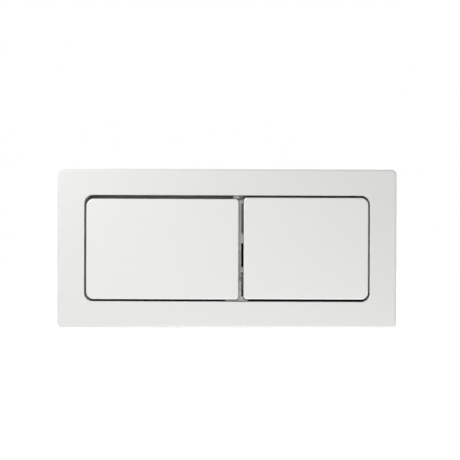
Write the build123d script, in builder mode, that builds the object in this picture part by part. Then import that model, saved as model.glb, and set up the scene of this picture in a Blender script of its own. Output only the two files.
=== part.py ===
from build123d import *
import os
from math import cos, pi, radians, sin

os.makedirs("parts", exist_ok=True)

# Dual flush plate for a concealed cistern, in millimetres.
# X is to the right as seen from the room, Y runs into the wall, Z is up.
# The wall face is at Y = 0 and the middle of the plate is at X = 0, Z = 0.

# Cover plate
plate_width = 240.0
plate_height = 112.5
plate_depth = 12.0
plate_corner = 4.0
plate_edge_round = 1.8
plate_front_wall = 2.4
plate_skirt_wall = 2.2

# Opening for the buttons, with a lip behind it
opening_width = 202.2
opening_height = 75.3
opening_corner = 6.0
opening_edge_chamfer = 0.3
lip_wall = 1.8
lip_depth = 7.0

# Ribs and snap hooks behind the cover
cover_rib_wall = 1.4
cover_rib_pitch = 36.0
rib_root = 0.4
cover_hook_width = 8.0
cover_hook_wall = 1.5
cover_hook_play = 0.3
cover_hook_catch = 1.2
cover_hook_barb = 1.4

# Buttons and the gaps around them
large_width = 107.8
divider_gap = 3.6
large_side_gap = 1.5
small_side_gap = 1.15
large_top_gap = 2.7
small_top_gap = 1.65
large_bottom_gap = 1.55
small_bottom_gap = 1.8
button_proud = 0.3
button_wall = 2.0
button_skirt_wall = 1.6
button_skirt_depth = 7.0
button_edge_round = 1.1
button_outer_corner = 5.2
button_inner_corner = 2.2
button_rib_wall = 1.2
button_rib_depth = 3.0
button_rib_rise = 26.0
rib_hinge_gap = 1.0

# Hinge along the top of the buttons
hinge_setback = 5.5
hinge_drop = 7.15
press_angle = 8.0
pin_radius = 1.25
pin_play = 0.06
pin_tail = 0.6
ear_radius = 2.5
ear_width = 3.2
ear_inset = 12.0
lug_radius = 2.4
lug_width = 3.0
lug_side_play = 0.2

# Snap hooks on the sides of the buttons, and the feet along their bottom
hook_drop = 50.5
hook_width = 8.0
hook_catch = 1.2
hook_barb = 1.8
hook_play = 0.3
foot_inset = 22.0
foot_width = 9.0
foot_length = 5.6

# Button carrier
carrier_thickness = 2.5
carrier_corner = 8.0
carrier_clearance = 3.8
carrier_setback = 0.6
lip_clearance = 0.5
ledge_play = 0.3
shelf_setback = 3.0
shelf_wall = 2.0

# Divider between the buttons
divider_play = 0.3
divider_setback = 4.0
divider_tail = 3.0
divider_root = 1.0
divider_top_gap = 3.5
divider_dip = 1.2
divider_dip_height = 19.0
divider_ramp = 2.7
divider_rise = 1.3
divider_rise_height = 7.5
divider_end_height = 6.4
notch_width = 1.4
notch_depth = 4.5
upper_notch_land = 2.3
lower_notch_land = 3.1
upper_land_height = 7.2
upper_land_z = 7.2
lower_land_height = 3.6
lower_land_z = -15.1
tongue_setback = 1.7
tongue_button_play = 0.4
tongue_gusset = 1.4
bottom_tongue_play = 0.5
bottom_tongue_offset = -3.05
bottom_tongue_width = 15.9
top_tongue_play = 0.2
top_tongue_setback = 2.5
top_tongue_offset = -3.5
top_tongue_width = 4.2

# Snap clips between the carrier and the mounting base
clip_spacing = 100.0
clip_width = 10.0
clip_wall = 1.6
clip_length = 9.5
clip_play = 0.3
clip_barb = 1.4
clip_barb_length = 3.4
clip_barb_flat = 0.8
clip_side_play = 0.5

# Mounting base
base_side_edge = 6.0
base_rim_setback = 2.95
base_wall = 2.0
base_corner = 7.0
base_rib_wall = 1.6
base_rib_depth = 3.0
base_rib_rise = 26.0
base_rib_pitch = 48.0
stop_pad_width = 11.0
stop_pad_height = 7.0
stop_pad_thickness = 2.0
stop_play = 0.3

# Push rods with their caps, locknuts and springs
rod_spacing = 80.0
rod_drop = 42.5
rod_radius = 3.0
rod_play = 0.1
rod_tail_radius = 3.75
rod_stop_play = 0.3
rod_end_y = 78.0
thread_play = 0.05
pusher_radius = 3.5
pusher_width = 5.0
pusher_play = 0.2
cap_front_y = -2.0
cap_flange_across_flats = 13.0
cap_flange = 2.0
cap_across_flats = 8.0
cap_hub_length = 7.0
cap_thread_depth = 8.0
locknut_across_flats = 8.0
locknut_thickness = 3.0
spring_radius = 5.6
spring_wire = 1.0
spring_turns = 4
spring_steps = 12
spring_end_play = 0.05
cup_play = 0.5
cup_wall = 1.6
cup_depth = 8.0
guide_length = 9.0
gusset_wall = 1.6
gusset_reach = 6.0
gusset_rise = 11.0

# Distance bolts
bolt_inset = 11.0
bolt_across_flats = 13.0
bolt_head_height = 4.0
bolt_coin_slot = 1.8
bolt_coin_slot_depth = 1.6
bolt_thread_radius = 4.5
bolt_thread_tail = 4.0
bolt_end_radius = 4.0
bolt_end_y = 78.0
bolt_slot_play = 0.2
bolt_slot_travel = 6.0
washer_width = 20.0
washer_thickness = 1.6
washer_play = 0.1
bolt_nut_across_flats = 14.0
bolt_nut_thickness = 5.0

# Levels along Y, from the room inwards
front_y = -plate_depth
front_inner_y = front_y + plate_front_wall
lip_end_y = front_y + lip_depth
seat_y = lip_end_y + lip_clearance
carrier_back_y = seat_y + carrier_thickness
button_front_y = front_y - button_proud
button_inner_y = button_front_y + button_wall
button_back_y = button_front_y + button_skirt_depth
divider_front_y = front_y + divider_setback
divider_back_y = carrier_back_y + divider_tail
tongue_front_y = front_y + tongue_setback
shelf_front_y = carrier_back_y + shelf_setback
shelf_back_y = shelf_front_y + shelf_wall
foot_end_y = button_back_y + foot_length

# Button edges, hinge axis and hooks
large_left = -opening_width / 2 + large_side_gap
large_right = large_left + large_width
small_left = large_right + divider_gap
small_right = opening_width / 2 - small_side_gap
large_top = opening_height / 2 - large_top_gap
small_top = opening_height / 2 - small_top_gap
large_bottom = large_bottom_gap - opening_height / 2
small_bottom = small_bottom_gap - opening_height / 2
hinge_y = front_y + hinge_setback
hinge_z = opening_height / 2 - hinge_drop
divider_x = large_right + divider_gap / 2
divider_width = divider_gap - 2 * divider_play
hook_z = hinge_z - hook_drop

# The feet of the buttons land on the stop pads at the end of the press, which sets the depth of the base
foot_arm_y = foot_end_y - hinge_y
foot_arm_z = hinge_z - large_bottom
press_sine = sin(radians(press_angle))
press_cosine = cos(radians(press_angle))
foot_reach = foot_arm_y * press_cosine + foot_arm_z * press_sine
stop_pad_y = hinge_y + foot_reach + stop_play
stop_pad_z = hinge_z + foot_arm_y * press_sine - (foot_arm_z - button_skirt_wall / 2) * press_cosine
panel_y = stop_pad_y + stop_pad_thickness
panel_back_y = panel_y + base_wall

# Outlines of the cover, the carrier and the base
skirt_inner_width = plate_width - 2 * plate_skirt_wall
skirt_inner_height = plate_height - 2 * plate_skirt_wall
lip_width = opening_width + 2 * lip_wall
lip_height = opening_height + 2 * lip_wall
carrier_width = skirt_inner_width - 2 * carrier_clearance
carrier_height = skirt_inner_height - 2 * carrier_clearance
carrier_hole_left = large_left - ledge_play
carrier_hole_right = small_right + ledge_play
carrier_hole_height = opening_height + 2 * carrier_setback
base_width = carrier_width - 2 * base_side_edge
base_inner_width = base_width - 2 * base_wall
base_inner_height = carrier_hole_height + 2 * base_rim_setback
base_height = base_inner_height + 2 * base_wall
bolt_spacing = base_inner_width - 2 * bolt_inset
clip_catch_y = carrier_back_y + clip_length - clip_barb_length
clip_tip_y = carrier_back_y + clip_length

# Rod places and levels
rod_z = hinge_z - rod_drop
full_rod_x = divider_x - rod_spacing / 2
half_rod_x = divider_x + rod_spacing / 2
cap_back_y = cap_front_y + cap_flange
cap_hub_y = cap_back_y + cap_hub_length
rod_front_y = cap_hub_y - cap_thread_depth
cup_floor_y = panel_y + cup_depth
guide_end_y = cup_floor_y + guide_length
rod_shoulder_y = guide_end_y + rod_stop_play
cup_radius = spring_radius + spring_wire / 2 + cup_play


def facing(y):
    """Sketch plane facing the room at depth y, where sketch x is X and sketch y is Z."""
    return Plane.XZ.offset(-y)


def across(x):
    """Sketch plane across the plate at x, where sketch x is Y and sketch y is Z."""
    return Plane.YZ.offset(x)


def through_axis(x, z, outward=(1, 0, 0)):
    """Sketch plane through a rod axis, where sketch x runs outward from it and sketch y is Y."""
    return Plane(origin=(x, 0, z), x_dir=outward, z_dir=Vector(outward).cross(Vector(0, 1, 0)))


def turn_profile(points, x, z, mode=Mode.ADD):
    """Turn a closed profile of radius and depth points about the rod axis at x, z."""
    with BuildSketch(through_axis(x, z)) as profile:
        with BuildLine():
            Polyline(*points, close=True)
        make_face()
    revolve(profile.sketch, axis=Axis((x, 0, z), (0, 1, 0)), mode=mode)


def finish(piece, name):
    """Name a finished piece and write it."""
    piece.part.label = name
    export_step(piece.part, f"parts/{name}.step")


# Cover plate: a moulded frame with a skirt to the wall and a lip round the opening
with BuildPart() as cover_plate:
    with BuildSketch(facing(0)):
        RectangleRounded(plate_width, plate_height, plate_corner)
    extrude(amount=plate_depth)
    fillet(cover_plate.faces().sort_by(Axis.Y)[0].edges(), plate_edge_round)
    with BuildSketch(facing(0)):
        RectangleRounded(skirt_inner_width, skirt_inner_height, plate_corner - plate_skirt_wall)
    extrude(amount=plate_depth - plate_front_wall, mode=Mode.SUBTRACT)
    with BuildSketch(facing(front_inner_y)):
        RectangleRounded(lip_width, lip_height, opening_corner + lip_wall)
    extrude(amount=front_inner_y - lip_end_y)
    # Ribs across the channel between lip and skirt, on which the carrier seats
    channel_x = (skirt_inner_width - lip_width) / 2
    channel_z = (skirt_inner_height - lip_height) / 2
    rib_columns = int((opening_width - 2 * opening_corner) // cover_rib_pitch) + 1
    rib_rows = int((opening_height - 2 * opening_corner) // cover_rib_pitch) + 1
    with BuildSketch(facing(front_inner_y)):
        with GridLocations(cover_rib_pitch, lip_height + channel_z, rib_columns, 2):
            Rectangle(cover_rib_wall, channel_z + 2 * rib_root)
        with GridLocations(lip_width + channel_x, cover_rib_pitch, 2, rib_rows):
            Rectangle(channel_x + 2 * rib_root, cover_rib_wall)
    extrude(amount=front_inner_y - seat_y)
    # Snap hooks between the ribs, which reach past the edge of the carrier and catch behind it
    cover_hook_y = carrier_back_y + cover_hook_play
    for hook_x in (-2 * cover_rib_pitch, 0, 2 * cover_rib_pitch):
        for side in (1, -1):
            inside = side * (carrier_height / 2 + cover_hook_play)
            outside = inside + side * cover_hook_wall
            barb_tip = side * (carrier_height / 2 - cover_hook_catch)
            with BuildSketch(across(hook_x)):
                with BuildLine():
                    Polyline(
                        (front_inner_y, inside),
                        (cover_hook_y, inside),
                        (cover_hook_y, barb_tip),
                        (cover_hook_y + cover_hook_barb, inside),
                        (cover_hook_y + cover_hook_barb, outside),
                        (front_inner_y, outside),
                        close=True,
                    )
                make_face()
            extrude(amount=cover_hook_width / 2, both=True)
    with BuildSketch(facing(lip_end_y)):
        RectangleRounded(opening_width, opening_height, opening_corner)
    extrude(amount=lip_depth, mode=Mode.SUBTRACT)
    opening_edges = cover_plate.faces().sort_by(Axis.Y)[0].inner_wires()[0].edges()
    chamfer(opening_edges, opening_edge_chamfer)
finish(cover_plate, "cover_plate")

# Button carrier: a ring behind the cover with the divider, the hinge shelf and four snap clips
ear_places = [
    large_left + ear_inset,
    large_right - ear_inset,
    small_left + ear_inset,
    small_right - ear_inset,
]
rail_reach = carrier_hole_height / 2 + divider_root
divider_left = divider_x - divider_width / 2
divider_right = divider_x + divider_width / 2
divider_top = opening_height / 2 - divider_top_gap
bottom_tongue_low = bottom_tongue_play - opening_height / 2
bottom_tongue_high = large_bottom - tongue_button_play
divider_end_top = bottom_tongue_low + divider_end_height
divider_rise_top = divider_end_top + divider_rise_height
divider_dip_low = divider_rise_top + divider_ramp
divider_dip_top = divider_dip_low + divider_dip_height
divider_dip_y = divider_front_y + divider_dip
divider_rise_y = divider_front_y - divider_rise
upper_land_top = upper_land_z + upper_land_height / 2
upper_land_bottom = upper_land_z - upper_land_height / 2
lower_land_top = lower_land_z + lower_land_height / 2
lower_land_bottom = lower_land_z - lower_land_height / 2
notch_x = divider_right - notch_width / 2
with BuildPart() as button_carrier:
    # Ring, whose hole leaves ledges behind the gaps at the sides of the buttons
    with BuildSketch(facing(carrier_back_y)):
        RectangleRounded(carrier_width, carrier_height, carrier_corner)
        with Locations(((carrier_hole_left + carrier_hole_right) / 2, 0)):
            RectangleRounded(
                carrier_hole_right - carrier_hole_left,
                carrier_hole_height,
                opening_corner + carrier_setback,
                mode=Mode.SUBTRACT,
            )
    extrude(amount=carrier_thickness)
    # Hinge shelf: stepped back from the upper rail, behind the top edge of the buttons
    shelf_low = hinge_z - ear_radius
    shelf_high = carrier_hole_height / 2
    with BuildSketch(across(carrier_hole_left - shelf_wall)):
        with BuildLine():
            Polyline(
                (seat_y, shelf_high + shelf_wall),
                (shelf_back_y, shelf_high + shelf_wall),
                (shelf_back_y, shelf_low),
                (shelf_front_y, shelf_low),
                (shelf_front_y, shelf_high),
                (seat_y, shelf_high),
                close=True,
            )
        make_face()
    extrude(amount=carrier_hole_right - carrier_hole_left + 2 * shelf_wall)
    # Hinge ears: they stand on the shelf and reach forward to the axis of each button
    for ear_x in ear_places:
        with BuildSketch(across(ear_x)):
            with Locations((hinge_y, hinge_z)):
                Circle(ear_radius)
            with Locations(((hinge_y + shelf_back_y) / 2, hinge_z)):
                Rectangle(shelf_back_y - hinge_y, 2 * ear_radius)
            with Locations((hinge_y, hinge_z)):
                Circle(pin_radius, mode=Mode.SUBTRACT)
        extrude(amount=ear_width / 2, both=True)
    # Divider: joined to both rails, with a front edge that dips and then steps out to the bottom tongue
    with BuildSketch(across(divider_left)):
        with BuildLine():
            Polyline(
                (divider_back_y, rail_reach),
                (seat_y, rail_reach),
                (seat_y, divider_top),
                (divider_front_y, divider_top),
                (divider_front_y, divider_dip_top + divider_ramp),
                (divider_dip_y, divider_dip_top),
                (divider_dip_y, divider_dip_low),
                (divider_rise_y, divider_rise_top),
                (divider_rise_y, divider_end_top + divider_ramp),
                (tongue_front_y, divider_end_top),
                (tongue_front_y, bottom_tongue_low),
                (seat_y, bottom_tongue_low),
                (seat_y, -rail_reach),
                (divider_back_y, -rail_reach),
                close=True,
            )
        make_face()
    extrude(amount=divider_width)
    # Notches down the small button's side of the divider, the middle one right through
    with BuildSketch(facing(tongue_front_y)):
        for low, high in (
            (upper_land_top, divider_top - upper_notch_land),
            (bottom_tongue_low + lower_notch_land, lower_land_bottom),
        ):
            with Locations((notch_x, (low + high) / 2)):
                Rectangle(notch_width, high - low)
    extrude(amount=tongue_front_y - divider_front_y - notch_depth, mode=Mode.SUBTRACT)
    with BuildSketch(facing(tongue_front_y)):
        with Locations((notch_x, (lower_land_top + upper_land_bottom) / 2)):
            Rectangle(notch_width, upper_land_bottom - lower_land_top)
    extrude(amount=tongue_front_y - divider_back_y, mode=Mode.SUBTRACT)
    # Tongues in the gaps above and below the large button, on roots that reach the rails
    top_tongue_low = large_top + tongue_button_play
    top_tongue_high = opening_height / 2 - top_tongue_play
    with BuildSketch(facing(seat_y)):
        with Locations((divider_x + top_tongue_offset, (top_tongue_low + top_tongue_high) / 2)):
            Rectangle(top_tongue_width, top_tongue_high - top_tongue_low)
    extrude(amount=seat_y - front_y - top_tongue_setback)
    with BuildSketch(facing(seat_y)):
        with Locations((divider_x + bottom_tongue_offset, (bottom_tongue_low + bottom_tongue_high) / 2)):
            Rectangle(bottom_tongue_width, bottom_tongue_high - bottom_tongue_low)
        with BuildLine():
            Polyline(
                (divider_left - tongue_gusset, bottom_tongue_high),
                (divider_left, bottom_tongue_high + tongue_gusset),
                (divider_right, bottom_tongue_high + tongue_gusset),
                (divider_right + tongue_gusset, bottom_tongue_high),
                close=True,
            )
        make_face()
    extrude(amount=seat_y - tongue_front_y)
    with BuildSketch(facing(carrier_back_y)):
        with Locations((divider_x + top_tongue_offset, (top_tongue_low + rail_reach) / 2)):
            Rectangle(top_tongue_width, rail_reach - top_tongue_low)
        with Locations((divider_x + bottom_tongue_offset, (bottom_tongue_high - rail_reach) / 2)):
            Rectangle(bottom_tongue_width, bottom_tongue_high + rail_reach)
    extrude(amount=carrier_thickness)
    # Snap clips: arms outside the base with barbs that enter its windows
    for clip_x in (-clip_spacing / 2, clip_spacing / 2):
        for side in (1, -1):
            inside = side * (base_height / 2 + clip_play)
            outside = inside + side * clip_wall
            barb_tip = side * (base_height / 2 - clip_barb)
            with BuildSketch(across(clip_x)):
                with BuildLine():
                    Polyline(
                        (seat_y, inside),
                        (clip_catch_y, inside),
                        (clip_catch_y, barb_tip),
                        (clip_catch_y + clip_barb_flat, barb_tip),
                        (clip_tip_y, inside),
                        (clip_tip_y, outside),
                        (seat_y, outside),
                        close=True,
                    )
                make_face()
            extrude(amount=clip_width / 2, both=True)
finish(button_carrier, "button_carrier")


def flush_button(left, right, bottom, top, left_corner, right_corner, rod_x, left_catch_y, right_catch_y):
    """A hollow push plate with hinge lugs, side hooks, feet and a pusher for its rod."""
    width = right - left
    height = top - bottom
    middle = ((left + right) / 2, (bottom + top) / 2)
    inner_width = width - 2 * button_skirt_wall
    inner_height = height - 2 * button_skirt_wall
    rib_top = hinge_z - ear_radius - rib_hinge_gap
    with BuildPart() as button:
        with BuildSketch(facing(button_back_y)) as outline:
            with Locations(middle):
                Rectangle(width, height)
            fillet(outline.vertices().sort_by(Axis.X)[:2], left_corner)
            fillet(outline.vertices().sort_by(Axis.X)[-2:], right_corner)
        extrude(amount=button_skirt_depth)
        fillet(button.faces().sort_by(Axis.Y)[0].edges(), button_edge_round)
        with BuildSketch(facing(button_back_y)) as hollow:
            with Locations(middle):
                Rectangle(inner_width, inner_height)
            fillet(hollow.vertices().sort_by(Axis.X)[:2], left_corner - button_skirt_wall)
            fillet(hollow.vertices().sort_by(Axis.X)[-2:], right_corner - button_skirt_wall)
        extrude(amount=button_skirt_depth - button_wall, mode=Mode.SUBTRACT)
        # Cross ribs behind the face
        with BuildSketch(facing(button_inner_y)):
            with Locations((middle[0], rod_z), (middle[0], rod_z + button_rib_rise)):
                Rectangle(inner_width + 2 * rib_root, button_rib_wall)
            with Locations((rod_x, (bottom + rib_top) / 2)):
                Rectangle(button_rib_wall, rib_top - bottom - button_skirt_wall)
        extrude(amount=-button_rib_depth)
        # Pusher: a blade with a round end that rolls on the rod cap
        pusher_end_y = cap_front_y - pusher_play - pusher_radius
        with BuildSketch(across(rod_x)):
            with Locations((pusher_end_y, rod_z)):
                Circle(pusher_radius)
            with Locations(((button_inner_y + pusher_end_y) / 2, rod_z)):
                Rectangle(pusher_end_y - button_inner_y, 2 * pusher_radius)
        extrude(amount=pusher_width / 2, both=True)
        # Hinge lugs just inside the ears of the carrier
        lug_inset = ear_inset + ear_width / 2 + lug_side_play + lug_width / 2
        for lug_x in (left + lug_inset, right - lug_inset):
            with BuildSketch(across(lug_x)):
                with Locations((hinge_y, hinge_z)):
                    Circle(lug_radius)
                with Locations(((button_inner_y + hinge_y) / 2, hinge_z)):
                    Rectangle(hinge_y - button_inner_y, 2 * lug_radius)
                with Locations((hinge_y, hinge_z)):
                    Circle(pin_radius + pin_play, mode=Mode.SUBTRACT)
            extrude(amount=lug_width / 2, both=True)
        # Snap hooks down the sides, which catch behind the side ledge of the carrier and behind its divider
        for face_x, outward, catch_y in ((left, -1, left_catch_y), (right, 1, right_catch_y)):
            inside = face_x - outward * button_skirt_wall
            with BuildSketch(Plane.XY.offset(hook_z)):
                with BuildLine():
                    Polyline(
                        (face_x, button_inner_y),
                        (face_x, catch_y),
                        (face_x + outward * hook_catch, catch_y),
                        (face_x, catch_y + hook_barb),
                        (inside, catch_y + hook_barb),
                        (inside, button_inner_y),
                        close=True,
                    )
                make_face()
            extrude(amount=hook_width / 2, both=True)
        # Feet on the bottom wall, which land on the stop pads
        with BuildSketch(facing(foot_end_y)):
            with Locations((middle[0], bottom + button_skirt_wall / 2)):
                with GridLocations(width - 2 * foot_inset, 0, 2, 1):
                    Rectangle(foot_width, button_skirt_wall)
        extrude(amount=foot_end_y - button_inner_y)
    return button


ledge_catch_y = carrier_back_y + hook_play
divider_catch_y = divider_back_y + hook_play
full_flush_button = flush_button(
    large_left,
    large_right,
    large_bottom,
    large_top,
    button_outer_corner,
    button_inner_corner,
    full_rod_x,
    ledge_catch_y,
    divider_catch_y,
)
finish(full_flush_button, "full_flush_button")
half_flush_button = flush_button(
    small_left,
    small_right,
    small_bottom,
    small_top,
    button_inner_corner,
    button_outer_corner,
    half_rod_x,
    divider_catch_y,
    ledge_catch_y,
)
finish(half_flush_button, "half_flush_button")


# Hinge pins: steel dowels pressed into the ears, a little longer than the ears are apart
for pin_name, pin_left, pin_right in (
    ("full_hinge_pin", large_left, large_right),
    ("half_hinge_pin", small_left, small_right),
):
    pin_start_x = pin_left + ear_inset - ear_width / 2 - pin_tail
    pin_end_x = pin_right - ear_inset + ear_width / 2 + pin_tail
    with BuildPart() as hinge_pin:
        with BuildSketch(across(pin_start_x)):
            with Locations((hinge_y, hinge_z)):
                Circle(pin_radius)
        extrude(amount=pin_end_x - pin_start_x)
    finish(hinge_pin, pin_name)

# Mounting base: a tray in the wall opening with spring cups, rod guides and slots for the bolts
with BuildPart() as mounting_base:
    with BuildSketch(facing(panel_back_y)):
        RectangleRounded(base_width, base_height, base_corner)
    extrude(amount=panel_back_y - carrier_back_y)
    with BuildSketch(facing(panel_y)):
        RectangleRounded(base_inner_width, base_inner_height, base_corner - base_wall)
    extrude(amount=panel_y - carrier_back_y, mode=Mode.SUBTRACT)
    # Ribs behind the panel, the upright ones between the nuts of the bolts
    rib_field = bolt_spacing - 2 * bolt_nut_across_flats
    with BuildSketch(facing(panel_back_y)):
        with GridLocations(0, 2 * base_rib_rise, 1, 2):
            Rectangle(base_inner_width, base_rib_wall)
        with GridLocations(base_rib_pitch, 0, int(rib_field // base_rib_pitch) + 1, 1):
            Rectangle(base_rib_wall, base_inner_height)
    extrude(amount=-base_rib_depth)
    for rod_x in (full_rod_x, half_rod_x):
        guide_radius = rod_radius + rod_play
        tube_radius = cup_radius + cup_wall
        # Crossed webs make the four gussets of each guide
        for outward in ((1, 0, 0), (0, 0, 1)):
            with BuildSketch(through_axis(rod_x, rod_z, outward)):
                with BuildLine():
                    Polyline(
                        (-tube_radius - gusset_reach, panel_back_y),
                        (tube_radius + gusset_reach, panel_back_y),
                        (tube_radius, panel_back_y + gusset_rise),
                        (-tube_radius, panel_back_y + gusset_rise),
                        close=True,
                    )
                make_face()
            extrude(amount=gusset_wall / 2, both=True)
        turn_profile(
            [(0, panel_y), (tube_radius, panel_y), (tube_radius, guide_end_y), (0, guide_end_y)],
            rod_x,
            rod_z,
        )
        turn_profile(
            [
                (0, panel_y),
                (cup_radius, panel_y),
                (cup_radius, cup_floor_y),
                (guide_radius, cup_floor_y),
                (guide_radius, guide_end_y),
                (0, guide_end_y),
            ],
            rod_x,
            rod_z,
            mode=Mode.SUBTRACT,
        )
    slot_width = 2 * (bolt_thread_radius + bolt_slot_play)
    with BuildSketch(facing(panel_back_y + base_rib_depth)):
        with GridLocations(bolt_spacing, 0, 2, 1):
            SlotOverall(slot_width + bolt_slot_travel, slot_width)
    extrude(amount=base_wall + base_rib_depth, mode=Mode.SUBTRACT)
    # Windows in the top and bottom walls for the barbs of the clips
    window_start_y = clip_catch_y - clip_play
    window_end_y = clip_tip_y + clip_play
    with BuildSketch(Plane.XY):
        with Locations((0, (window_start_y + window_end_y) / 2)):
            with GridLocations(clip_spacing, 0, 2, 1):
                Rectangle(clip_width + 2 * clip_side_play, window_end_y - window_start_y)
    extrude(amount=base_height / 2, both=True, mode=Mode.SUBTRACT)
finish(mounting_base, "mounting_base")

# Distance bolts: moulded, hexagon heads with a coin slot, threads through the slots of the base
bolt_seat_y = panel_y - washer_thickness
bolt_head_y = bolt_seat_y - bolt_head_height
bolt_thread_end_y = panel_back_y + bolt_nut_thickness + bolt_thread_tail
with BuildPart() as distance_bolts:
    with BuildSketch(facing(bolt_seat_y)):
        with GridLocations(bolt_spacing, 0, 2, 1):
            RegularPolygon(bolt_across_flats / 2, 6, major_radius=False)
    extrude(amount=bolt_head_height)
    with BuildSketch(facing(bolt_head_y)):
        with GridLocations(bolt_spacing, 0, 2, 1):
            Rectangle(2 * bolt_across_flats, bolt_coin_slot)
    extrude(amount=-bolt_coin_slot_depth, mode=Mode.SUBTRACT)
    with BuildSketch(facing(bolt_seat_y)):
        with GridLocations(bolt_spacing, 0, 2, 1):
            Circle(bolt_thread_radius)
    extrude(amount=bolt_seat_y - bolt_thread_end_y)
    with BuildSketch(facing(bolt_thread_end_y)):
        with GridLocations(bolt_spacing, 0, 2, 1):
            Circle(bolt_end_radius)
    extrude(amount=bolt_thread_end_y - bolt_end_y)
finish(distance_bolts, "distance_bolts")

# Bolt washers: square plates that span the slots of the base
with BuildPart() as bolt_washers:
    with BuildSketch(facing(panel_y)):
        with GridLocations(bolt_spacing, 0, 2, 1):
            Rectangle(washer_width, washer_width)
            Circle(bolt_thread_radius + washer_play, mode=Mode.SUBTRACT)
    extrude(amount=washer_thickness)
finish(bolt_washers, "bolt_washers")

# Bolt nuts: behind the base, so that heads and nuts clamp it
with BuildPart() as bolt_nuts:
    with BuildSketch(facing(panel_back_y)):
        with GridLocations(bolt_spacing, 0, 2, 1):
            RegularPolygon(bolt_nut_across_flats / 2, 6, major_radius=False)
            Circle(bolt_thread_radius + thread_play, mode=Mode.SUBTRACT)
    extrude(amount=-bolt_nut_thickness)
finish(bolt_nuts, "bolt_nuts")

# Stop pads: rubber, where the feet of each button land at the end of the press
for flush, left, right in (("full", large_left, large_right), ("half", small_left, small_right)):
    with BuildPart() as stop_pads:
        with BuildSketch(facing(panel_y)):
            with Locations(((left + right) / 2, stop_pad_z)):
                with GridLocations(right - left - 2 * foot_inset, 0, 2, 1):
                    Rectangle(stop_pad_width, stop_pad_height)
        extrude(amount=stop_pad_thickness)
    finish(stop_pads, f"{flush}_stop_pads")

# Push rods, each with its cap, locknut and return spring
for flush, rod_x in (("full", full_rod_x), ("half", half_rod_x)):
    with BuildPart() as push_rod:
        turn_profile(
            [
                (0, rod_front_y),
                (rod_radius, rod_front_y),
                (rod_radius, rod_shoulder_y),
                (rod_tail_radius, rod_shoulder_y),
                (rod_tail_radius, rod_end_y),
                (0, rod_end_y),
            ],
            rod_x,
            rod_z,
        )
    finish(push_rod, f"{flush}_push_rod")

    thread_bore = rod_radius + thread_play
    with BuildPart() as rod_cap:
        with BuildSketch(facing(cap_back_y)):
            with Locations((rod_x, rod_z)):
                RegularPolygon(cap_flange_across_flats / 2, 6, major_radius=False)
        extrude(amount=cap_flange)
        with BuildSketch(facing(cap_hub_y)):
            with Locations((rod_x, rod_z)):
                RegularPolygon(cap_across_flats / 2, 6, major_radius=False)
        extrude(amount=cap_hub_length)
        with BuildSketch(facing(cap_hub_y)):
            with Locations((rod_x, rod_z)):
                Circle(thread_bore)
        extrude(amount=cap_thread_depth, mode=Mode.SUBTRACT)
    finish(rod_cap, f"{flush}_rod_cap")

    with BuildPart() as rod_locknut:
        with BuildSketch(facing(cap_hub_y)):
            with Locations((rod_x, rod_z)):
                RegularPolygon(locknut_across_flats / 2, 6, major_radius=False)
                Circle(thread_bore, mode=Mode.SUBTRACT)
        extrude(amount=-locknut_thickness)
    finish(rod_locknut, f"{flush}_rod_locknut")

    spring_start_y = cap_back_y + spring_wire / 2 + spring_end_play
    spring_length = cup_floor_y - cap_back_y - spring_wire - 2 * spring_end_play
    with BuildPart() as return_spring:
        with BuildLine() as coil:
            Polyline(
                *[
                    (
                        rod_x + spring_radius * cos(2 * pi * step / spring_steps),
                        spring_start_y + spring_length * step / (spring_turns * spring_steps),
                        rod_z + spring_radius * sin(2 * pi * step / spring_steps),
                    )
                    for step in range(spring_turns * spring_steps + 1)
                ]
            )
        with BuildSketch(Plane(origin=coil.line @ 0, z_dir=coil.line % 0)):
            RegularPolygon(spring_wire / 2, 6)
        sweep(transition=Transition.RIGHT)
    finish(return_spring, f"{flush}_return_spring")
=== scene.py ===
import math

import bmesh
import bpy
from mathutils import Matrix, Vector


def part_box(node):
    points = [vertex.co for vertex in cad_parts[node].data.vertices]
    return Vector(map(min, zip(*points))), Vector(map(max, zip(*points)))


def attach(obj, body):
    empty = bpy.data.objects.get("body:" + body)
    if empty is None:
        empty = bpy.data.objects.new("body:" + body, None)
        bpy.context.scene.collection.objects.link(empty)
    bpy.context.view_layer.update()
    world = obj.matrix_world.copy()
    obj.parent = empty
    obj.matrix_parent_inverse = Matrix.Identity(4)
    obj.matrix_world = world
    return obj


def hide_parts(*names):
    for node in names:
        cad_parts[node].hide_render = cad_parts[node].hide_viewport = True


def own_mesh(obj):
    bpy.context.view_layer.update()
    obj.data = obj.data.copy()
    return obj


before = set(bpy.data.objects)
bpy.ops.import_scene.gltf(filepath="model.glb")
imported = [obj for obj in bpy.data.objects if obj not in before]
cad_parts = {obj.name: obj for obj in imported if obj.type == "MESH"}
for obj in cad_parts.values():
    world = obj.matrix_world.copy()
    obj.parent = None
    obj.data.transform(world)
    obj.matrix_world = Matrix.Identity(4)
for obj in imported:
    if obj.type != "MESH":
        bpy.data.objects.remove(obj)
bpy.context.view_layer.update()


# Mounting base: the dark tray that sits in the wall opening and carries everything else.
# It is injection moulded in dark grey plastic with an eroded mould grain, and its edges
# are slightly broken where the mould halves met.
same_point = 1e-6
flat_angle = math.radians(1.0)
edge_angle = math.radians(35.0)
edge_segments = 2
noise_low = 0.3
noise_high = 0.7
plastic_cloud = 0.018
plastic_gloss_patch = 0.006


def new_material(name):
    """A new material, its nodes, its links and its main shader."""
    material = bpy.data.materials.new(name)
    material.use_nodes = True
    tree = material.node_tree
    return material, tree.nodes, tree.links, tree.nodes["Principled BSDF"]


def add_noise(nodes, links, grain, detail):
    """Noise with spots of about this size in metres, fixed to the piece."""
    place = nodes.new("ShaderNodeTexCoord")
    noise = nodes.new("ShaderNodeTexNoise")
    noise.inputs["Scale"].default_value = 1.0 / grain
    noise.inputs["Detail"].default_value = detail
    links.new(place.outputs["Object"], noise.inputs["Vector"])
    return noise.outputs["Fac"]


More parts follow.
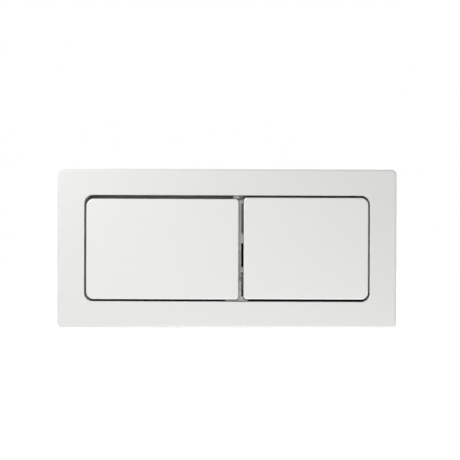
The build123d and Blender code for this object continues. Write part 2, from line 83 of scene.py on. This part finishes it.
def colour_between(nodes, links, factor, socket, colour, shade):
    """Let the factor shift a colour socket between two colours."""
    mix = nodes.new("ShaderNodeMix")
    mix.data_type = "RGBA"
    mix.inputs["A"].default_value = (*colour, 1.0)
    mix.inputs["B"].default_value = (*shade, 1.0)
    links.new(factor, mix.inputs["Factor"])
    links.new(mix.outputs["Result"], socket)


def value_between(nodes, links, factor, socket, low, high):
    """Let the usual range of a noise shift a number socket between two numbers."""
    spread = nodes.new("ShaderNodeMapRange")
    spread.inputs["From Min"].default_value = noise_low
    spread.inputs["From Max"].default_value = noise_high
    spread.inputs["To Min"].default_value = low
    spread.inputs["To Max"].default_value = high
    links.new(factor, spread.inputs["Value"])
    links.new(spread.outputs["Result"], socket)


def bump_from(nodes, links, height, socket, depth):
    """Raise the surface by about this depth in metres where the height is high."""
    bump = nodes.new("ShaderNodeBump")
    bump.inputs["Distance"].default_value = depth
    links.new(height, bump.inputs["Height"])
    links.new(bump.outputs["Normal"], socket)


def moulded_plastic(name, colour, shade, smooth, rough, grain, grain_depth):
    """Moulded plastic: faint cloudy colour, uneven gloss and the grain of the mould."""
    material, nodes, links, shader = new_material(name)
    cloud = add_noise(nodes, links, plastic_cloud, detail=3.0)
    gloss = add_noise(nodes, links, plastic_gloss_patch, detail=4.0)
    skin = add_noise(nodes, links, grain, detail=2.0)
    colour_between(nodes, links, cloud, shader.inputs["Base Color"], colour, shade)
    value_between(nodes, links, gloss, shader.inputs["Roughness"], smooth, rough)
    bump_from(nodes, links, skin, shader.inputs["Normal"], grain_depth)
    return material


def dress(node, material):
    """Give a CAD node its finish."""
    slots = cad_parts[node].data.materials
    slots.clear()
    slots.append(material)


def break_edges(node, width):
    """Round the sharp edges of a CAD node a little, as on any moulded or pressed piece."""
    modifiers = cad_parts[node].modifiers
    weld = modifiers.new("weld", "WELD")
    weld.merge_threshold = same_point
    flat = modifiers.new("flat", "DECIMATE")
    flat.decimate_type = "DISSOLVE"
    flat.angle_limit = flat_angle
    bevel = modifiers.new("edges", "BEVEL")
    bevel.width = width
    bevel.segments = edge_segments
    bevel.limit_method = "ANGLE"
    bevel.angle_limit = edge_angle
    bevel.harden_normals = True


dark_plastic = moulded_plastic(
    "dark_moulded_plastic",
    colour=(0.045, 0.047, 0.05),
    shade=(0.055, 0.057, 0.06),
    smooth=0.5,
    rough=0.66,
    grain=0.0004,
    grain_depth=0.00002,
)
dress("mounting_base", dark_plastic)
break_edges("mounting_base", width=0.00025)


# Distance bolts: two bolts moulded in grey plastic that hold the base to the cistern frame.
# A coin turns the slotted hexagon head, a fine thread takes the nut and a coarse one, down to
# the tapered tip, goes into the frame. The thread is modelled as a true helix.
bolt_low, bolt_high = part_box("distance_bolts")
bolt_head_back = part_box("bolt_washers")[0].y
hexagon_half_angle = math.radians(30.0)
bolt_head_corner = bolt_high.z / math.cos(hexagon_half_angle)
bolt_head_round = 0.0005
bolt_x = bolt_high.x - bolt_head_corner
coin_slot_half_width = 0.0009
coin_slot_depth = 0.0016
coin_slot_floor = bolt_low.y + coin_slot_depth
nut_thread = {"root": 0.0039, "crest": 0.00448, "pitch": 0.0015}
nut_thread_end = 0.0226
frame_thread = {"root": 0.0031, "crest": 0.004, "pitch": 0.0025, "taper": 0.0022}
frame_thread_start = 0.0244
thread_tooth = ((0.0, 0.0), (0.0, 0.2), (1.0, 0.45), (1.0, 0.75), (0.0, 1.0))
thread_steps = 32
spare_turns = 2
crease_angle = math.radians(38.0)


def cut_thread(shape, start, end, root, crest, pitch, taper=0.0):
    """Add an open screw thread along Y: one tooth is spun up the shank and both ends are cut.

    A tooth is given by its height and its share of the pitch, and a taper narrows the far end.
    """
    before = set(shape.verts)
    tooth = [
        shape.verts.new((root + height * (crest - root), start + (share - 1.0) * pitch, 0.0))
        for height, share in thread_tooth
    ]
    flanks = [shape.edges.new(ends) for ends in zip(tooth, tooth[1:])]
    turns = math.ceil((end - start) / pitch) + spare_turns
    bmesh.ops.spin(
        shape,
        geom=tooth + flanks,
        cent=(0.0, 0.0, 0.0),
        axis=(0.0, 1.0, 0.0),
        dvec=(0.0, pitch / thread_steps, 0.0),
        angle=2 * math.pi * turns,
        steps=thread_steps * turns,
        use_merge=False,
    )

    def thread_verts():
        return [vert for vert in shape.verts if vert not in before]

    bmesh.ops.remove_doubles(shape, verts=thread_verts(), dist=same_point)
    for level, inner, outer in ((start, True, False), (end, False, True)):
        edges = [edge for edge in shape.edges if edge.verts[0] not in before]
        faces = [face for face in shape.faces if face.verts[0] not in before]
        bmesh.ops.bisect_plane(
            shape,
            geom=thread_verts() + edges + faces,
            dist=same_point,
            plane_co=(0.0, level, 0.0),
            plane_no=(0.0, 1.0, 0.0),
            clear_inner=inner,
            clear_outer=outer,
        )
    for vert in thread_verts():
        limit = crest + end - taper - vert.co.y
        reach = math.hypot(vert.co.x, vert.co.z)
        if taper and reach > limit:
            vert.co.x *= limit / reach
            vert.co.z *= limit / reach


def open_rims(shape, *levels):
    """The open edges of a shape that lie at these levels along Y."""
    return [
        edge
        for edge in shape.edges
        if edge.is_boundary
        and any(
            all(abs(vert.co.y - level) < same_point for vert in edge.verts) for level in levels
        )
    ]


def round_over(shape, edges, width, segments):
    """Round these edges of a shape over."""
    bmesh.ops.bevel(
        shape,
        geom=edges,
        offset=width,
        offset_type="OFFSET",
        affect="EDGES",
        segments=segments,
        profile=0.5,
        material=-1,
    )


def copy_along_x(shape, distance):
    """Set a copy of all that the shape holds beside it, this far along X."""
    whole = shape.verts[:] + shape.edges[:] + shape.faces[:]
    copied = bmesh.ops.duplicate(shape, geom=whole)["geom"]
    verts = [item for item in copied if isinstance(item, bmesh.types.BMVert)]
    bmesh.ops.translate(shape, verts=verts, vec=(distance, 0.0, 0.0))


def add_piece(name, shape, material, body, node):
    """Close a shape and make it a piece that rides on a body and stands for a CAD node."""
    bmesh.ops.remove_doubles(shape, verts=shape.verts, dist=same_point)
    bmesh.ops.recalc_face_normals(shape, faces=shape.faces)
    mesh = bpy.data.meshes.new(name)
    shape.to_mesh(mesh)
    shape.free()
    mesh.shade_smooth()
    mesh.set_sharp_from_angle(angle=crease_angle)
    mesh.materials.append(material)
    piece = bpy.data.objects.new(name, mesh)
    bpy.context.collection.objects.link(piece)
    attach(piece, body)
    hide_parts(node)
    return piece


grey_plastic = moulded_plastic(
    "grey_moulded_plastic",
    colour=(0.40, 0.41, 0.43),
    shade=(0.46, 0.47, 0.49),
    smooth=0.38,
    rough=0.5,
    grain=0.0006,
    grain_depth=0.00001,
)
bolt = bmesh.new()
cut_thread(bolt, bolt_head_back, nut_thread_end, **nut_thread)
cut_thread(bolt, frame_thread_start, bolt_high.y, **frame_thread)
bmesh.ops.bridge_loops(bolt, edges=open_rims(bolt, nut_thread_end, frame_thread_start))
bmesh.ops.holes_fill(bolt, edges=open_rims(bolt, bolt_high.y))

# The hexagon is joined to the thread from the front, pulled back flat and then drawn forward.
head_rim = bmesh.ops.create_circle(bolt, segments=6, radius=bolt_head_corner)["verts"]
head_rim_edges = [edge for edge in bolt.edges if edge.is_wire]
upright = Matrix.Rotation(math.pi / 2, 3, "X") @ Matrix.Rotation(hexagon_half_angle, 3, "Z")
bmesh.ops.rotate(bolt, verts=head_rim, matrix=upright)
bmesh.ops.translate(bolt, verts=head_rim, vec=(0.0, bolt_low.y, 0.0))
bmesh.ops.bridge_loops(bolt, edges=head_rim_edges + open_rims(bolt, bolt_head_back))
bmesh.ops.translate(bolt, verts=head_rim, vec=(0.0, bolt_head_back - bolt_low.y, 0.0))
sides = bmesh.ops.extrude_edge_only(bolt, edges=head_rim_edges)["geom"]
front_rim = [item for item in sides if isinstance(item, bmesh.types.BMVert)]
bmesh.ops.translate(bolt, verts=front_rim, vec=(0.0, bolt_low.y - bolt_head_back, 0.0))
front_edges = open_rims(bolt, bolt_low.y)
bmesh.ops.holes_fill(bolt, edges=front_edges)
round_over(bolt, front_edges, bolt_head_round, segments=2)

# The coin slot is scored along its floor and walls, opened, and lined from end to end.
for point, normal in (
    ((0.0, coin_slot_floor, 0.0), (0.0, 1.0, 0.0)),
    ((0.0, 0.0, coin_slot_half_width), (0.0, 0.0, 1.0)),
    ((0.0, 0.0, -coin_slot_half_width), (0.0, 0.0, 1.0)),
):
    head_front = bolt_head_back - same_point
    head = [face for face in bolt.faces if face.calc_center_median().y < head_front]
    head_edges = {edge for face in head for edge in face.edges}
    head_verts = {vert for face in head for vert in face.verts}
    bmesh.ops.bisect_plane(
        bolt,
        geom=head + list(head_edges) + list(head_verts),
        dist=same_point,
        plane_co=point,
        plane_no=normal,
    )
slot_faces = [
    face
    for face in bolt.faces
    if face.calc_center_median().y < coin_slot_floor
    and abs(face.calc_center_median().z) < coin_slot_half_width
]
bmesh.ops.delete(bolt, geom=slot_faces, context="FACES")
slot_ends = [
    edge
    for edge in bolt.edges
    if edge.is_boundary and edge.verts[0].co.x * edge.verts[1].co.x > 0
]
bmesh.ops.bridge_loops(bolt, edges=slot_ends)
bmesh.ops.translate(bolt, verts=bolt.verts, vec=(-bolt_x, 0.0, 0.0))
copy_along_x(bolt, 2 * bolt_x)
add_piece(
    "threaded_distance_bolts",
    bolt,
    grey_plastic,
    body="plate",
    node="distance_bolts",
)


# Washers and nuts of the bolts: square washers stamped from zinc-plated steel span the slots
# of the base in front, and moulded hexagon nuts behind it clamp the bolts where they are set.
plating_cloud = 0.003
plating_grain = 0.0003
plating_grain_depth = 0.000004


def plated_metal(name, colour, shade, smooth, rough):
    """Plated or drawn steel: cloudy grey with a fine grain."""
    material, nodes, links, shader = new_material(name)
    shader.inputs["Metallic"].default_value = 1.0
    cloud = add_noise(nodes, links, plating_cloud, detail=4.0)
    grain = add_noise(nodes, links, plating_grain, detail=3.0)
    colour_between(nodes, links, cloud, shader.inputs["Base Color"], colour, shade)
    value_between(nodes, links, cloud, shader.inputs["Roughness"], smooth, rough)
    bump_from(nodes, links, grain, shader.inputs["Normal"], plating_grain_depth)
    return material


zinc = plated_metal(
    "zinc_plated_steel",
    colour=(0.62, 0.62, 0.6),
    shade=(0.52, 0.53, 0.53),
    smooth=0.26,
    rough=0.42,
)
dress("bolt_washers", zinc)
break_edges("bolt_washers", width=0.0002)
dress("bolt_nuts", grey_plastic)
break_edges("bolt_nuts", width=0.0005)


# Stop pads: small moulded rubber blocks glued to the panel of the base, two for each button.
# The feet of the button land on them at the end of the press, so the face of each pad is
# rounded over and has a shallow dish that takes the knock.
pad_width = 0.011
pad_corner = 0.0014
pad_edge_round = 0.0005
pad_rim = 0.0005
pad_dish = 0.0003
rubber_black = (0.02, 0.02, 0.02)
rubber_bloom = (0.035, 0.035, 0.034)
rubber, nodes, links, shader = new_material("pad_rubber")
bloom = add_noise(nodes, links, grain=0.002, detail=3.0)
crumb = add_noise(nodes, links, grain=0.0002, detail=2.0)
colour_between(nodes, links, bloom, shader.inputs["Base Color"], rubber_black, rubber_bloom)
value_between(nodes, links, bloom, shader.inputs["Roughness"], low=0.7, high=0.88)
bump_from(nodes, links, crumb, shader.inputs["Normal"], depth=0.00001)


def front_face(shape):
    """The face of a shape that lies furthest to the front."""
    return min(shape.faces, key=lambda face: face.calc_center_median().y)


for flush in ("full", "half"):
    pad_low, pad_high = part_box(f"{flush}_stop_pads")
    pad_depth = pad_high.y - pad_low.y
    pad_height = pad_high.z - pad_low.z
    pads = bmesh.new()
    corners = bmesh.ops.create_cube(pads, size=1.0)["verts"]
    bmesh.ops.scale(pads, verts=corners, vec=(pad_width, pad_depth, pad_height))
    bmesh.ops.translate(
        pads,
        verts=corners,
        vec=(pad_low.x + pad_width / 2, pad_low.y + pad_depth / 2, pad_low.z + pad_height / 2),
    )
    uprights = [
        edge
        for edge in pads.edges
        if abs(edge.verts[0].co.y - edge.verts[1].co.y) > pad_edge_round
    ]
    round_over(pads, uprights, pad_corner, segments=5)
    round_over(pads, front_face(pads).edges[:], pad_edge_round, segments=3)
    dish = front_face(pads)
    bmesh.ops.inset_region(pads, faces=[dish], thickness=pad_rim, depth=0.0)
    bmesh.ops.inset_region(pads, faces=[dish], thickness=pad_dish, depth=-pad_dish)
    copy_along_x(pads, pad_high.x - pad_low.x - pad_width)
    add_piece(
        f"{flush}_rubber_pads",
        pads,
        rubber,
        body="plate",
        node=f"{flush}_stop_pads",
    )


# Push rods: turned from natural light grey plastic, one behind each button. The cap and its
# locknut run on the thin threaded front, the step behind it stops against the guide of the
# base, and the thick tail has grooves where it is cut to length.
rod_neck_radius = 0.003
rod_neck_start = 0.0175
rod_neck_chamfer = 0.0004
rod_thread = {"root": 0.0026, "crest": rod_neck_radius, "pitch": 0.00125}
rod_thread_end = 0.0165
rod_shoulder = 0.029103
rod_tip_chamfer = 0.0009
groove_first = 0.0385
groove_pitch = 0.0065
groove_count = 6
groove_half_width = 0.0007
groove_depth = 0.00075
rod_steps = 40
rod_plastic = moulded_plastic(
    "rod_plastic",
    colour=(0.62, 0.63, 0.64),
    shade=(0.68, 0.69, 0.7),
    smooth=0.32,
    rough=0.44,
    grain=0.0008,
    grain_depth=0.000006,
)
for flush in ("full", "half"):
    rod_low, rod_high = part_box(f"{flush}_push_rod")
    tail_radius = (rod_high.z - rod_low.z) / 2
    rod_outline = [
        (rod_neck_radius, rod_neck_start),
        (rod_neck_radius, rod_shoulder),
        (tail_radius - rod_neck_chamfer, rod_shoulder),
        (tail_radius, rod_shoulder + rod_neck_chamfer),
    ]
    for groove in range(groove_count):
        middle = groove_first + groove * groove_pitch
        rod_outline += [
            (tail_radius, middle - groove_half_width),
            (tail_radius - groove_depth, middle),
            (tail_radius, middle + groove_half_width),
        ]
    rod_outline += [
        (tail_radius, rod_high.y - rod_tip_chamfer),
        (tail_radius - rod_tip_chamfer, rod_high.y),
    ]
    rod = bmesh.new()
    cut_thread(rod, rod_low.y, rod_thread_end, **rod_thread)
    line = [rod.verts.new((radius, level, 0.0)) for radius, level in rod_outline]
    runs = [rod.edges.new(ends) for ends in zip(line, line[1:])]
    bmesh.ops.spin(
        rod,
        geom=line + runs,
        cent=(0.0, 0.0, 0.0),
        axis=(0.0, 1.0, 0.0),
        angle=2 * math.pi,
        steps=rod_steps,
        use_merge=True,
    )
    bmesh.ops.bridge_loops(rod, edges=open_rims(rod, rod_thread_end, rod_neck_start))
    bmesh.ops.holes_fill(rod, edges=open_rims(rod, rod_low.y, rod_high.y))
    rod_x = (rod_low.x + rod_high.x) / 2
    rod_z = (rod_low.z + rod_high.z) / 2
    bmesh.ops.translate(rod, verts=rod.verts, vec=(rod_x, 0.0, rod_z))
    add_piece(
        f"{flush}_turned_rod",
        rod,
        rod_plastic,
        body=f"{flush}_rod",
        node=f"{flush}_push_rod",
    )


# Caps and locknuts of the rods: moulded in blue grey plastic with hexagon flanges, screwed on
# the front of each rod. The rib of the button presses on the cap, the spring pushes on the
# back of its flange, and the locknut holds its setting.
cap_plastic = moulded_plastic(
    "cap_plastic",
    colour=(0.16, 0.27, 0.42),
    shade=(0.2, 0.31, 0.46),
    smooth=0.34,
    rough=0.48,
    grain=0.0006,
    grain_depth=0.00001,
)
for node in ("full_rod_cap", "full_rod_locknut", "half_rod_cap", "half_rod_locknut"):
    dress(node, cap_plastic)
    break_edges(node, width=0.0003)


# Return springs: coiled from round spring steel wire, one round each rod between the flange of
# the cap and the floor of the cup in the base. The end turns are closed so that they sit flat,
# and the coils close up when the button is pressed.
wire_radius = 0.0005
wire_sides = 10
coil_steps = 28
end_turns = 1
end_pitch = 0.00106
open_turns = 4
spring_steel = plated_metal(
    "spring_steel",
    colour=(0.58, 0.58, 0.57),
    shade=(0.5, 0.5, 0.5),
    smooth=0.22,
    rough=0.34,
)
for flush in ("full", "half"):
    spring_low, spring_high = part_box(f"{flush}_return_spring")
    cap_low, cap_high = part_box(f"{flush}_rod_cap")
    spring_x = (cap_low.x + cap_high.x) / 2
    spring_z = (cap_low.z + cap_high.z) / 2
    coil_radius = (spring_high.z - spring_low.z) / 2 - wire_radius
    open_rise = spring_high.y - spring_low.y - 2 * (wire_radius + end_turns * end_pitch)
    spring = bmesh.new()
    wire = bmesh.ops.create_circle(spring, segments=wire_sides, radius=wire_radius, cap_ends=True)
    bmesh.ops.translate(
        spring,
        verts=wire["verts"],
        vec=(spring_x + coil_radius, spring_low.y + wire_radius, spring_z),
    )
    end = spring.verts[:] + spring.edges[:] + spring.faces[:]
    for turns, pitch in (
        (end_turns, end_pitch),
        (open_turns, open_rise / open_turns),
        (end_turns, end_pitch),
    ):
        end = bmesh.ops.spin(
            spring,
            geom=end,
            cent=(spring_x, 0.0, spring_z),
            axis=(0.0, 1.0, 0.0),
            dvec=(0.0, pitch / coil_steps, 0.0),
            angle=2 * math.pi * turns,
            steps=coil_steps * turns,
            use_merge=False,
        )["geom_last"]
    coil = add_piece(
        f"{flush}_wire_spring",
        spring,
        spring_steel,
        body="plate",
        node=f"{flush}_return_spring",
    )
    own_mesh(coil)


# Button carrier: the pale ring behind the cover, moulded in plain off-white plastic, with the
# divider between the buttons, the shelf for their hinges and the clips. It snaps onto the base,
# and only the divider and narrow ledges of it show in the gaps round the buttons.
# The carrier is off-white plastic, but its colour here is set to a mid grey as painted shade for
# the deep narrow gaps where it shows.
pale_carrier_painted_shade = moulded_plastic(
    "inner_white_plastic",
    colour=(0.45, 0.45, 0.445),
    shade=(0.49, 0.49, 0.485),
    smooth=0.4,
    rough=0.52,
    grain=0.0006,
    grain_depth=0.00001,
)
dress("button_carrier", pale_carrier_painted_shade)
break_edges("button_carrier", width=0.0002)


# Hinge pins: plain dowels cut from zinc-plated steel rod and pressed into the ears of the
# carrier. Each button swings on one of them.
for node in ("full_hinge_pin", "half_hinge_pin"):
    dress(node, zinc)
    break_edges(node, width=0.0002)


# Flush buttons: the wide one for the full flush on the left, the narrow one for the half flush
# on the right. Both are moulded in satin white plastic, as smooth as the polished mould.
button_white = moulded_plastic(
    "button_white_plastic",
    colour=(0.80, 0.80, 0.787),
    shade=(0.81, 0.81, 0.798),
    smooth=0.32,
    rough=0.37,
    grain=0.0009,
    grain_depth=0.000002,
)
dress("full_flush_button", button_white)
dress("half_flush_button", button_white)


# Cover plate: the white frame round the buttons, moulded in the same plastic; its white is set a
# touch greyer than the buttons'. It snaps onto the carrier and hides everything else.
cover_white = moulded_plastic(
    "cover_white_plastic",
    colour=(0.77, 0.77, 0.756),
    shade=(0.78, 0.78, 0.767),
    smooth=0.33,
    rough=0.38,
    grain=0.0009,
    grain_depth=0.000002,
)
dress("cover_plate", cover_white)


# Floor: a plain pale studio floor well below the plate, painted matt, which keeps a soft shadow
# of the plate. It glows a little to the camera, and more towards its far edge, where it fades
# into the white of the room.
floor_height = -0.62
floor_size = 40.0
floor_pale = (0.9, 0.9, 0.9, 1.0)
floor_rough = 0.9
floor_glow = 0.5
far_floor_glow = 0.72
fade_start = 0.4
fade_end = 1.5
white = (1.0, 1.0, 1.0, 1.0)
floor_mesh = bpy.data.meshes.new("floor")
floor_shape = bmesh.new()
bmesh.ops.create_grid(floor_shape, x_segments=1, y_segments=1, size=floor_size / 2)
bmesh.ops.translate(floor_shape, verts=floor_shape.verts, vec=(0.0, 0.0, floor_height))
floor_shape.to_mesh(floor_mesh)
floor_shape.free()
floor = bpy.data.objects.new("floor", floor_mesh)
bpy.context.collection.objects.link(floor)


def seen_directly(nodes, links):
    """One for rays from the camera, also by way of a shiny or clear surface, and else zero."""
    rays = nodes.new("ShaderNodeLightPath")
    shiny = nodes.new("ShaderNodeMath")
    shiny.operation = "MAXIMUM"
    clear = nodes.new("ShaderNodeMath")
    clear.operation = "MAXIMUM"
    links.new(rays.outputs["Is Camera Ray"], shiny.inputs[0])
    links.new(rays.outputs["Is Glossy Ray"], shiny.inputs[1])
    links.new(shiny.outputs["Value"], clear.inputs[0])
    links.new(rays.outputs["Is Transmission Ray"], clear.inputs[1])
    return clear.outputs["Value"]


floor_paint, nodes, links, shader = new_material("floor_paint")
shader.inputs["Base Color"].default_value = floor_pale
shader.inputs["Roughness"].default_value = floor_rough
shader.inputs["Emission Color"].default_value = white
place = nodes.new("ShaderNodeTexCoord")
reach = nodes.new("ShaderNodeVectorMath")
reach.operation = "LENGTH"
fade = nodes.new("ShaderNodeMapRange")
fade.interpolation_type = "SMOOTHSTEP"
fade.inputs["From Min"].default_value = fade_start
fade.inputs["From Max"].default_value = fade_end
fade.inputs["To Min"].default_value = floor_glow
fade.inputs["To Max"].default_value = far_floor_glow
glow = nodes.new("ShaderNodeMath")
glow.operation = "MULTIPLY"
links.new(place.outputs["Object"], reach.inputs[0])
links.new(reach.outputs["Value"], fade.inputs["Value"])
links.new(fade.outputs["Result"], glow.inputs[0])
links.new(seen_directly(nodes, links), glow.inputs[1])
links.new(glow.outputs["Value"], shader.inputs["Emission Strength"])
floor_mesh.materials.append(floor_paint)


# Room: a plain white studio all round. The camera sees it as white, also in shiny surfaces,
# and it lights the plate evenly at a lower level.
room_light = 0.365
room_white = 1.0
room = bpy.data.worlds.new("white_room")
bpy.context.scene.world = room
room.use_nodes = True
nodes, links = room.node_tree.nodes, room.node_tree.links
nodes["Background"].inputs["Color"].default_value = white
level = nodes.new("ShaderNodeMapRange")
level.inputs["To Min"].default_value = room_light
level.inputs["To Max"].default_value = room_white
links.new(seen_directly(nodes, links), level.inputs["Value"])
links.new(level.outputs["Result"], nodes["Background"].inputs["Strength"])


# Lamps: round soft boxes, a key lamp up to the left, one below and one on the right that brighten
# the edges there, and one behind for the back of the plate. All are aimed at the plate.
def add_lamp(name, place, size, power):
    """A round soft box of this size at this place, aimed at the plate."""
    lamp = bpy.data.lights.new(name, "AREA")
    lamp.shape = "DISK"
    lamp.size = size
    lamp.energy = power
    light = bpy.data.objects.new(name, lamp)
    light.location = place
    light.rotation_euler = (-Vector(place)).to_track_quat("-Z", "Y").to_euler()
    light.visible_camera = False
    bpy.context.collection.objects.link(light)


add_lamp("key_lamp", place=(-0.28, -0.28, 0.255), size=0.55, power=1.7)
add_lamp("low_lamp", place=(0.09, -0.18, -0.37), size=0.4, power=1.22)
add_lamp("side_lamp", place=(0.48, -0.08, 0.06), size=0.25, power=0.26)
add_lamp("back_lamp", place=(-0.40, 0.80, 0.50), size=0.6, power=3.0)


# Camera: straight in front of the plate with a long lens, framed so that the edges of the plate
# fall on the columns and rows where the photograph has them, with its slight tilt.
image_size = 460.0
plate_left_column = 57.35
plate_right_column = 396.75
plate_middle_row = 248.5
lens = 100.0
roll = math.radians(-0.2)
plate_low, plate_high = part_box("cover_plate")
pixel = (plate_high.x - plate_low.x) / (plate_right_column - plate_left_column)
plate_middle_column = (plate_left_column + plate_right_column) / 2
camera_data = bpy.data.cameras.new("camera")
camera_data.lens = lens
distance = image_size * pixel * lens / camera_data.sensor_width
camera = bpy.data.objects.new("camera", camera_data)
camera.location = (
    (image_size / 2 - plate_middle_column) * pixel,
    plate_low.y - distance,
    (plate_middle_row - image_size / 2) * pixel,
)
camera.rotation_euler = (math.pi / 2, roll, 0.0)
bpy.context.collection.objects.link(camera)
bpy.context.scene.camera = camera
bpy.context.scene.view_settings.view_transform = "Standard"
